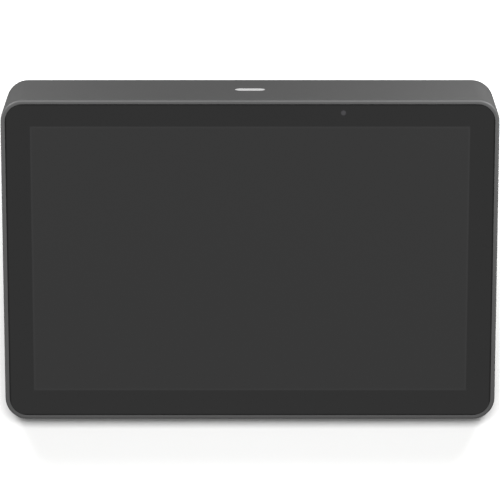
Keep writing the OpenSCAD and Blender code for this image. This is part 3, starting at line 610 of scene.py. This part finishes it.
def glass():
    e = 0.04 * MM
    rounded = [(0, -e), (0.3 * e, -0.3 * e), (e, 0)]
    stations = rounded + [(GLASS_T - depth, growth) for depth, growth in reversed(rounded)]
    back = FACE - OUT * (GLASS_DROP + GLASS_T)
    sheet = plug(bmesh.new(), (GLASS_W, GLASS_H, GLASS_R), back, FACING, stations, 16)
    piece("glass_panel", sheet, "cover_glass", replaces=["cover_glass"])


def badge():
    e = 0.15 * MM
    t = BADGE_RECESS - 0.05 * MM
    stations = [(0, 0), (t - e, 0), (t - 0.3 * e, -0.3 * e), (t, -e)]
    back = BADGE_AT - UP * BADGE_RECESS
    pill = plug(bmesh.new(), (BADGE_W, BADGE_H, BADGE_H / 2 - 0.01 * MM), back, REAR_WALL, stations)
    piece("badge_pill", pill, "badge_ink", replaces=["badge"])


# ---------------------------------------------------------------- base, feet, door and screws

BAY_HALF, BAY_FRONT, BAY_REAR = 46 * MM, 20 * MM, 74 * MM
DOOR_EDGE, DOOR_GAP, DOOR_T = 3.7 * MM, 0.3 * MM, 2 * MM
EAR_W, EAR_L, EAR_GAP = 5 * MM, 5 * MM, 0.7 * MM
HINGE = Vector((0, BAY_FRONT + 2.2 * MM, COVER_Z + 1.9 * MM))
HINGE_R, PIN_R = 1.9 * MM, 0.8 * MM
FEET = [(s * 78 * MM, -66 * MM, 62 * MM) for s in (-1, 1)]
FEET += [(s * 84 * MM, 67 * MM, 46 * MM) for s in (-1, 1)]
FOOT_W, FOOT_TOP = 10 * MM, COVER_Z + 0.8 * MM
MOUNTS = [(sx * 37.5 * MM, (-24.5 + sy * 37.5) * MM) for sx in (-1, 1) for sy in (-1, 1)]
TUB_SCREWS = [(s * 54.5 * MM, y * MM) for s in (-1, 1) for y in (32, 64)]
STAKES = [(s * 58 * MM, y * MM) for s in (-1, 1) for y in (-50, -8)]
SPEAKER = Vector((-95 * MM, -12 * MM, 0))
SLOTS_R, SLOT_PITCH, SLOT_W = 12.5 * MM, 3.6 * MM, 1.8 * MM
SHANK_R, COVER_HEAD_R, TUB_HEAD_R = 1.25 * MM, 2.2 * MM, 2.4 * MM


def point(x, y, z):
    return Vector((x, y, z))


def countersink(bm, x, y, head_r):
    """The hole of a countersunk screw, from below the base cover."""
    profile = [(head_r + 0.15 * MM, -1 * MM), (head_r + 0.15 * MM, 0), (head_r + 0.1 * MM, 0.05 * MM),
               (SHANK_R, head_r + 0.1 * MM - SHANK_R), (SHANK_R, 5 * MM)]
    return lathe(bm, profile, point(x, y, COVER_Z), FLAT, 40)


def speaker_slots(bm):
    for i in range(-3, 4):
        half = math.sqrt(SLOTS_R ** 2 - (SLOT_PITCH * i) ** 2)
        at = SPEAKER + Vector((SLOT_PITCH * i, 0, COVER_Z - 1 * MM))
        plug(bm, (SLOT_W, 2 * half, SLOT_W / 2 - 0.01 * MM), at, FLAT,
             [(0, 0.3 * MM), (1 * MM, 0.3 * MM), (1.3 * MM, 0), (5 * MM, 0)], 6)
    return bm


def cover_plate():
    """The base cover's plain plate, its lower edge rounded."""
    play = WALL + 0.2 * MM
    shape = outline(FACE_W - 2 * play, FACE_H - 2 * play, CORNER_R - play)

    def ring(z, inset):
        return [at_height(x - nx * inset, y - ny * inset, COVER_Z + z) for x, y, nx, ny in shape]

    rounded = [ring(z * MM, inset * MM) for z, inset in ((0, 0.3), (0.1, 0.1), (0.3, 0))]
    return loft(bmesh.new(), rounded + [ring(COVER_TOP - COVER_Z, 0)])


def door_opening():
    """The hole that the door closes, without the two blocks that hold its hinge pins."""
    half = BAY_HALF + DOOR_EDGE + DOOR_GAP
    rear = BAY_REAR + DOOR_EDGE + DOOR_GAP
    at = Vector((0, (BAY_FRONT + rear) / 2, -1 * MM))
    bevel = [(0, 0.25 * MM), (COVER_Z + 1 * MM, 0.25 * MM), (COVER_Z + 1.25 * MM, 0), (9 * MM, 0)]
    opening = plug(bmesh.new(), (2 * half, rear - BAY_FRONT, 0.6 * MM), at, FLAT, bevel, 4)
    ears = []
    for side in (-1, 1):
        x = side * (BAY_HALF + EAR_W / 2)
        ears.append(box_tool((x - EAR_W / 2, BAY_FRONT - 1 * MM, -2 * MM),
                             (x + EAR_W / 2, BAY_FRONT + EAR_L, 12 * MM)))
    return cut(opening, *ears)


def base_cover():
    sinks, bores, recesses = bmesh.new(), bmesh.new(), bmesh.new()
    for x, y in SCREWS:
        countersink(sinks, x, y, COVER_HEAD_R)
    for x, y in TUB_SCREWS:
        countersink(sinks, x, y, TUB_HEAD_R)
    for x, y in MOUNTS:
        lathe(bores, [(3.2 * MM, -1 * MM), (3.2 * MM, 0), (3 * MM, 0.2 * MM), (3 * MM, 9 * MM)],
              point(x, y, COVER_Z), FLAT, 40)
    for x, y, length in FEET:
        size = (length + 0.2 * MM, FOOT_W + 0.2 * MM, FOOT_W / 2 + 0.09 * MM)
        plug(recesses, size, point(x, y, 0), FLAT,
             [(0, 0.2 * MM), (COVER_Z, 0.2 * MM), (COVER_Z + 0.2 * MM, 0), (FOOT_TOP, 0)], 12)
    slots = speaker_slots(bmesh.new())
    label = plug(bmesh.new(), (56 * MM, 24 * MM, 2 * MM), Vector((0, -42 * MM, 0)), FLAT,
                 [(0, 0.1 * MM), (COVER_Z, 0.1 * MM), (COVER_Z + 0.2 * MM, 0)], 6)
    exit_slot = box_tool((-FACE_W, EXIT_Y - EXIT_R, -1 * MM),
                         (-BAY_HALF - DOOR_EDGE, EXIT_Y + EXIT_R, 9 * MM))
    cover = cut(cover_plate(), door_opening(), sinks, bores, recesses, slots, label, exit_slot)
    for x, y in STAKES:
        at = point(x, y, COVER_TOP)
        rod(cover, 1.9 * MM, -0.2 * MM, 5 * MM, at, FLAT, 0, 24)
        rod(cover, 3 * MM, 4.5 * MM, 5.3 * MM, at, FLAT, 0.2 * MM, 24)
    piece("base_panel", cover, "base_plastic", replaces=["base_cover"])


def rubber_feet():
    feet = bmesh.new()
    grooves = bmesh.new()
    for x, y, length in FEET:
        plug(feet, (length, FOOT_W, FOOT_W / 2 - 0.01 * MM), point(x, y, 0), FLAT,
             [(0, -0.6 * MM), (0.15 * MM, -0.25 * MM), (0.6 * MM, 0), (FOOT_TOP, 0)], 12)
        for side in (-1, 0, 1):
            at = point(x, y + side * 2.2 * MM, -1 * MM)
            plug(grooves, (length - 9 * MM, 0.9 * MM, 0.44 * MM), at, FLAT,
                 [(0, 0.1 * MM), (1 * MM, 0.1 * MM), (1.35 * MM, -0.1 * MM)], 6)
    piece("feet", cut(feet, grooves), "rubber", replaces=["rubber_feet"])


def bay_door():
    half = BAY_HALF + DOOR_EDGE
    rear = BAY_REAR + DOOR_EDGE
    front = BAY_FRONT + EAR_L + EAR_GAP
    door = box(bmesh.new(), (-half, front, COVER_Z), (half, rear, COVER_Z + DOOR_T), 0.3 * MM)
    narrow = box(bmesh.new(), (-BAY_HALF + 0.3 * MM, HINGE.y, COVER_Z + 0.02 * MM),
                 (BAY_HALF - 0.3 * MM, front + 5 * MM, COVER_Z + DOOR_T - 0.02 * MM))
    barrel = rod(bmesh.new(), HINGE_R, -BAY_HALF + 0.3 * MM, BAY_HALF - 0.3 * MM, HINGE, ALONG_X, 0.2 * MM)
    door = joined(door, narrow, barrel)
    scoop = lathe(bmesh.new(), [(9.3 * MM, -5 * MM), (9.3 * MM, 0), (9 * MM, 0.3 * MM), (8.2 * MM, 1 * MM)],
                  Vector((0, rear + 3 * MM, COVER_Z)), FLAT, 64)
    grips = bmesh.new()
    for i in range(5):
        at = Vector((0, (62 - 2.2 * i) * MM, COVER_Z - 1 * MM))
        plug(grips, (24 * MM, 0.8 * MM, 0.39 * MM), at, FLAT,
             [(0, 0.1 * MM), (1 * MM, 0.1 * MM), (1.4 * MM, -0.15 * MM)], 6)
    for side in (-1, 1):
        rod(grips, PIN_R + 0.05 * MM, -5.3 * MM, 5 * MM, HINGE + RIGHT * (side * BAY_HALF), ALONG_X, 0, 24)
    door = cut(door, scoop, grips)
    for x in (-20, 0, 20):
        box(door, ((x - 0.8) * MM, HINGE.y + 4 * MM, COVER_Z + DOOR_T - 0.1 * MM),
            ((x + 0.8) * MM, rear - 8 * MM, COVER_Z + DOOR_T + 0.7 * MM), 0.2 * MM)
    piece("bay_door_panel", door, "base_plastic", body="door", replaces=["bay_door"])


def copies(template, places):
    """One mesh holding a copy of template at each place, moved there from the origin."""
    mesh = bpy.data.meshes.new("template")
    template.to_mesh(mesh)
    made = bmesh.new()
    for place in places:
        start = len(made.verts)
        made.from_mesh(mesh)
        made.verts.ensure_lookup_table()
        bmesh.ops.translate(made, verts=made.verts[start:], vec=place)
    bpy.data.meshes.remove(mesh)
    template.free()
    return made


def cross(width, depth, at_z, up):
    """The cross-shaped recess of a screw head at at_z, cut upwards if up, else downwards."""
    low, high = (at_z - 1 * MM, at_z + depth) if up else (at_z - depth, at_z + 1 * MM)
    arms = []
    for a, b in ((width, width * 0.3), (width * 0.3, width)):
        arms.append(box_tool((-a / 2, -b / 2, low), (a / 2, b / 2, high)))
    return joined(*arms)


def thread(r, start, end, pitch=0.5 * MM, deep=0.12 * MM):
    """Profile points of a shank's ridges between two heights."""
    turns = int((end - start) / pitch)
    points = []
    for i in range(turns):
        h = start + i * pitch
        points += [(r - deep, h), (r, h + pitch / 2)]
    return points


def flat_screw(head_r, length):
    """A countersunk screw, its head down and its threaded shank up."""
    cone = head_r - SHANK_R
    profile = [(head_r - 0.1 * MM, 0), (head_r, 0.08 * MM), (SHANK_R - 0.12 * MM, cone)]
    profile += thread(SHANK_R, cone + 0.2 * MM, length - 0.6 * MM) + [(SHANK_R * 0.5, length)]
    screw = lathe(bmesh.new(), profile, Vector((0, 0, 0)), FLAT, 32)
    return cut(screw, cross(head_r * 1.25, 0.75 * MM, 0, True))


def screws():
    places = [point(x, y, COVER_Z) for x, y in SCREWS]
    long_screws = copies(flat_screw(COVER_HEAD_R, 7.5 * MM), places)
    piece("cover_screws", long_screws, "screw_steel", replaces=["assembly_screws"])
    places = [point(x, y, COVER_Z) for x, y in TUB_SCREWS]
    short_screws = copies(flat_screw(TUB_HEAD_R, 3.9 * MM), places)
    piece("bay_screws", short_screws, "screw_steel", replaces=["tub_screws"])


def pan_screw(head_r, head_t, length, facing_up):
    """A screw with a domed head above or below the origin's plane, and a plain shank on the other
    side that narrows all the way from the head to its tip."""
    s = 1 if facing_up else -1
    profile = [(SHANK_R * 0.6, -s * length), (SHANK_R, -s * (length - 0.5 * MM))]
    for r, h in ((1, 0), (1, 0.55), (0.8, 0.9), (0.5, 1)):
        profile.append((head_r * r, s * head_t * h))
    screw = lathe(bmesh.new(), profile, Vector((0, 0, 0)), FLAT, 32)
    return cut(screw, cross(head_r * 1.1, head_t * 0.6, s * head_t, not facing_up))


def board_screws():
    low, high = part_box("board_screws")
    xs = [low.x + 2.2 * MM, high.x - 2.2 * MM]
    ys = [low.y + 2.2 * MM, high.y - 2.2 * MM]
    places = [point(x, y, high.z - 1.4 * MM) for x in xs for y in ys]
    made = copies(pan_screw(2.2 * MM, 1.4 * MM, 7 * MM, True), places)
    piece("board_screw_set", made, "screw_steel", replaces=["board_screws"])


def clamp_screws():
    low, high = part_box("clamp_screws")
    head_r, head_t = 2.8 * MM, 1.8 * MM
    places = [point((low.x + high.x) / 2, y, low.z + head_t) for y in (low.y + head_r, high.y - head_r)]
    made = copies(pan_screw(head_r, head_t, 9.2 * MM, False), places)
    piece("clamp_screw_set", made, "screw_steel", body="clamp", replaces=["clamp_screws"])


def insert(r, bore, length):
    """A brass insert standing at the origin: waisted outside, ridged inside."""
    mouth_r, waist_r, edge = bore + 0.35 * MM, r - 0.3 * MM, 0.15 * MM
    outside = [(mouth_r, 0), (r - edge, 0), (r, edge), (r, length * 0.4), (waist_r, length * 0.45)]
    outside += [(waist_r, length * 0.55), (r, length * 0.6), (r, length - edge), (r - edge, length)]
    ridges = thread(bore + 0.2 * MM, 0.3 * MM, length - 0.3 * MM, 0.7 * MM, 0.2 * MM)
    inside = [(mouth_r, length)] + [(q, length - h) for q, h in ridges]
    return lathe(bmesh.new(), outside + inside, Vector((0, 0, 0)), FLAT, 48, loop=True)


def inserts():
    low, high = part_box("mount_inserts")
    places = [point(x, y, low.z) for x, y in MOUNTS]
    made = copies(insert(3 * MM, 2 * MM, high.z - low.z), places)
    piece("mount_insert_set", made, "brass", replaces=["mount_inserts"])
    low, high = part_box("clamp_inserts")
    r = 2.3 * MM
    places = [point((low.x + high.x) / 2, y, low.z) for y in (low.y + r, high.y - r)]
    made = copies(insert(r, 1.5 * MM, high.z - low.z), places)
    piece("clamp_insert_set", made, "brass", replaces=["clamp_inserts"])


def hinge_pins():
    pins = bmesh.new()
    in_door, in_ear = 5.3 * MM, 4.7 * MM
    for side, start, end in ((-1, -in_ear, in_door), (1, -in_door, in_ear)):
        rod(pins, PIN_R, start, end, HINGE + RIGHT * (side * BAY_HALF), ALONG_X, 0.15 * MM, 24)
    piece("hinge_pin_pair", pins, "pin_steel", replaces=["hinge_pins"])


# ---------------------------------------------------------------- ports and the bay

def jack():
    """The headphone jack: a body behind the wall, a rounded collar in it and a ringed bore."""
    low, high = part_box("headphone_jack")
    body = box(bmesh.new(), (low.x, JACK.y - 3 * MM, JACK.z - 2.6 * MM),
               (FACE_W / 2 - WALL - 0.1 * MM, JACK.y + 3 * MM, JACK.z + 2.6 * MM), 0.3 * MM)
    reach = FACE_W / 2 - high.x
    rounded = [(2.7, 0), (2.92, 0.08), (3, 0.3)]
    collar_line = [(r * MM, reach + h * MM) for r, h in rounded] + [(3 * MM, 3.2 * MM)]
    collar = lathe(bmesh.new(), collar_line, JACK, INTO_RIGHT, 48)
    bore_line = [(2.3 * MM, -1 * MM)]
    bore_line += [(r * MM, reach + h * MM) for r, h in ((2.3, 0), (1.95, 0.2), (1.8, 0.6))]
    bore_line += [(r * MM, h * MM) for r, h in ((1.8, 3), (1.95, 3.1), (1.95, 3.6), (1.8, 3.7), (1.8, 14))]
    bore = lathe(bmesh.new(), bore_line, JACK, INTO_RIGHT, 48)
    body = cut(joined(body, collar), bore)
    piece("headphone_socket", body, "jack_plastic", replaces=["headphone_jack"])


def socket(node_name, name, edge, tongue, contacts):
    """A folded steel shell open towards the bay, with its tongue and a row of contacts on it."""
    low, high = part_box(node_name)
    w, t, l = high.x - low.x, high.z - low.z, high.y - low.y
    back = Vector(((low.x + high.x) / 2, low.y, (low.z + high.z) / 2))
    axes = (RIGHT * -1, Vector((0, 0, 1)), Vector((0, 1, 0)))
    stations = [(0, -0.1 * MM), (0.1 * MM, 0), (l - 0.1 * MM, 0), (l, -0.05 * MM)]
    shell = plug(bmesh.new(), (w, t, edge), back, axes, stations, 6)
    hollow = plug(bmesh.new(), (w - 0.8 * MM, t - 0.8 * MM, max(edge - 0.4 * MM, 0.1 * MM)), back, axes,
                  [(1 * MM, 0), (l - 0.3 * MM, 0), (l, 0.12 * MM), (l + 1 * MM, 0.12 * MM)], 6)
    shell = cut(shell, hollow)
    tw, tt = tongue
    stations = [(0.6 * MM, 0), (l - 1.8 * MM, 0), (l - 1.5 * MM, -0.12 * MM)]
    plug(shell, (tw, tt, 0.15 * MM), back, axes, stations, 3)
    step = tw / (contacts + 1)
    for i in range(contacts):
        x = back.x - tw / 2 + step * (i + 1)
        box(shell, (x - step * 0.25, low.y + 1 * MM, back.z - tt / 2 - 0.04 * MM),
            (x + step * 0.25, high.y - 2.3 * MM, back.z + tt / 2 + 0.04 * MM))
    piece(name, shell, "tin", replaces=[node_name])


def sockets():
    socket("hdmi_socket", "display_socket", 0.8 * MM, (11 * MM, 1 * MM), 10)
    socket("usb_a_socket", "wide_usb_socket", 0.4 * MM, (11 * MM, 1.8 * MM), 4)
    socket("usb_c_socket", "small_usb_socket", 1.5 * MM, (6.6 * MM, 0.7 * MM), 8)


def speaker_cone():
    """Pressed paper cone with a domed cap and a rolled surround."""
    low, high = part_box("speaker_cone")
    at = Vector((SPEAKER.x, SPEAKER.y, low.z))
    t = 0.3 * MM
    cap = [(0, 1.25), (2.5, 0.95), (4.6, 1.2)]
    cone = [(6, 1.0), (9.4, 0.35), (9.8, 0.3)]
    surround = [(10.4, 0.1), (11.2, 0.0), (12, 0.1), (12.4, 0.2)]
    line = [(r * MM, h * MM) for r, h in cap + cone + surround]
    profile = line + [(r, h + t) for r, h in reversed(line)]
    made = lathe(bmesh.new(), profile, at, FLAT, 64)
    piece("speaker_diaphragm", made, "cone", replaces=["speaker_cone"], angle=50)


# How far each of these CAD nodes has its edges broken, in millimetres.
CAD_BEVELS = {
    "cable_tub": 0.3, "clamp_bar": 0.4, "processor": 0.12, "memory_chips": 0.1,
    "power_inductors": 0.5, "radio_shield": 0.3, "flex_connectors": 0.2, "reset_switch": 0.3,
    "heat_sink": 0.15, "speaker_magnet": 0.4, "speaker_basket": 0.2, "ballast_plate": 0.3,
    "lock_plate": 0.3, "display_frame": 0.1, "lcd_cell": 0.05, "display_driver_board": 0.08,
    "main_board": 0.12, "jack_board": 0.12, "reset_button": 0.15, "board_standoffs": 0.1,
}


def finish_cad_nodes():
    """Gives every CAD node its slot's material, and breaks the edges of the moulded and cut ones."""
    slots = {part["node"]: part["material_slot"] for part in frame["record"]["subparts"]}
    for name, thing in frame["nodes"].items():
        thing.data.materials.clear()
        thing.data.materials.append(finish_of(slots[name]))
        if name in CAD_BEVELS:
            bevel = thing.modifiers.new("edges", "BEVEL")
            bevel.width, bevel.segments, bevel.limit_method = CAD_BEVELS[name] * MM, 2, "ANGLE"
            bevel.angle_limit = math.radians(40)


# ---------------------------------------------------------------- floor, lights and camera

def floor():
    sheet = bmesh.new()
    half = 4.0
    loft(sheet, [[Vector((x * half, y * half, z)) for x, y in ((-1, -1), (1, -1), (1, 1), (-1, 1))]
                 for z in (-10 * MM, 0)])
    thing = as_object(tidy(sheet), "floor")
    thing.data.materials.append(finish_of("floor"))


def soft_light(name, at, aim, size, watts):
    lamp = bpy.data.lights.new(name, "AREA")
    lamp.shape = "RECTANGLE"
    lamp.size, lamp.size_y = size
    lamp.energy = watts
    thing = bpy.data.objects.new(name, lamp)
    bpy.context.scene.collection.objects.link(thing)
    thing.location = at
    thing.rotation_euler = (Vector(aim) - Vector(at)).to_track_quat("-Z", "Y").to_euler()
    thing.visible_camera = False
    return thing


def world_light():
    """A pale room, brighter overhead and towards the front, seen by the glass as a soft gradient."""
    world = bpy.data.worlds.new("room")
    bpy.context.scene.world = world
    world.use_nodes = True
    tree = world.node_tree
    tree.nodes.clear()
    way = node(tree, "TexCoord").outputs["Generated"]
    ends = node(tree, "SeparateXYZ", {0: way}).outputs
    along = spread(tree, ends["Y"], ROOM_FRONT, ROOM_REAR, -0.75, 0.75)
    level = maths(tree, "MULTIPLY", along, spread(tree, ends["Z"], ROOM_LOW, 1, 0.1, 0.75))
    back = node(tree, "Background", {"Color": (1.0, 1.0, 1.0, 1.0), "Strength": level})
    out = node(tree, "OutputWorld", {"Surface": back.outputs[0]})
    out.is_active_output = True


ROOM_FRONT, ROOM_REAR, ROOM_LOW = 0.8, 0.22, 0.3
LENS, VIEW_TURN = 247.7, math.radians(0.557)
VIEW_DISTANCE, VIEW_UP = 1.7119, 0.00573


def camera():
    """A long lens almost straight above, the face's upper edge away from it."""
    back = Vector((0, math.sin(VIEW_TURN), math.cos(VIEW_TURN)))
    up = Vector((0, math.cos(VIEW_TURN), -math.sin(VIEW_TURN)))
    lens = bpy.data.cameras.new("camera")
    lens.lens, lens.sensor_width = LENS, 36
    lens.clip_end = 20
    thing = bpy.data.objects.new("camera", lens)
    bpy.context.scene.collection.objects.link(thing)
    rows = Matrix((RIGHT, up, back)).transposed()
    thing.matrix_world = Matrix.Translation(FACE + back * VIEW_DISTANCE + up * VIEW_UP) @ rows.to_4x4()
    bpy.context.scene.camera = thing


housing()
glass()
badge()
base_cover()
rubber_feet()
bay_door()
screws()
board_screws()
clamp_screws()
inserts()
hinge_pins()
jack()
sockets()
speaker_cone()
finish_cad_nodes()
floor()
world_light()
soft_light("overhead", (0, 0.42, 1.6), (0, 0, 0), (1.3, 0.6), 48)
soft_light("rear_left", (-0.26, 0.22, 0.12), (-0.10, 0.08, 0.02), (0.1, 0.1), 1.5)
soft_light("rear_right", (0.26, 0.22, 0.12), (0.10, 0.08, 0.02), (0.1, 0.1), 2.0)
camera()
bpy.context.scene.view_settings.view_transform = "Standard"

bpy.context.view_layer.update()
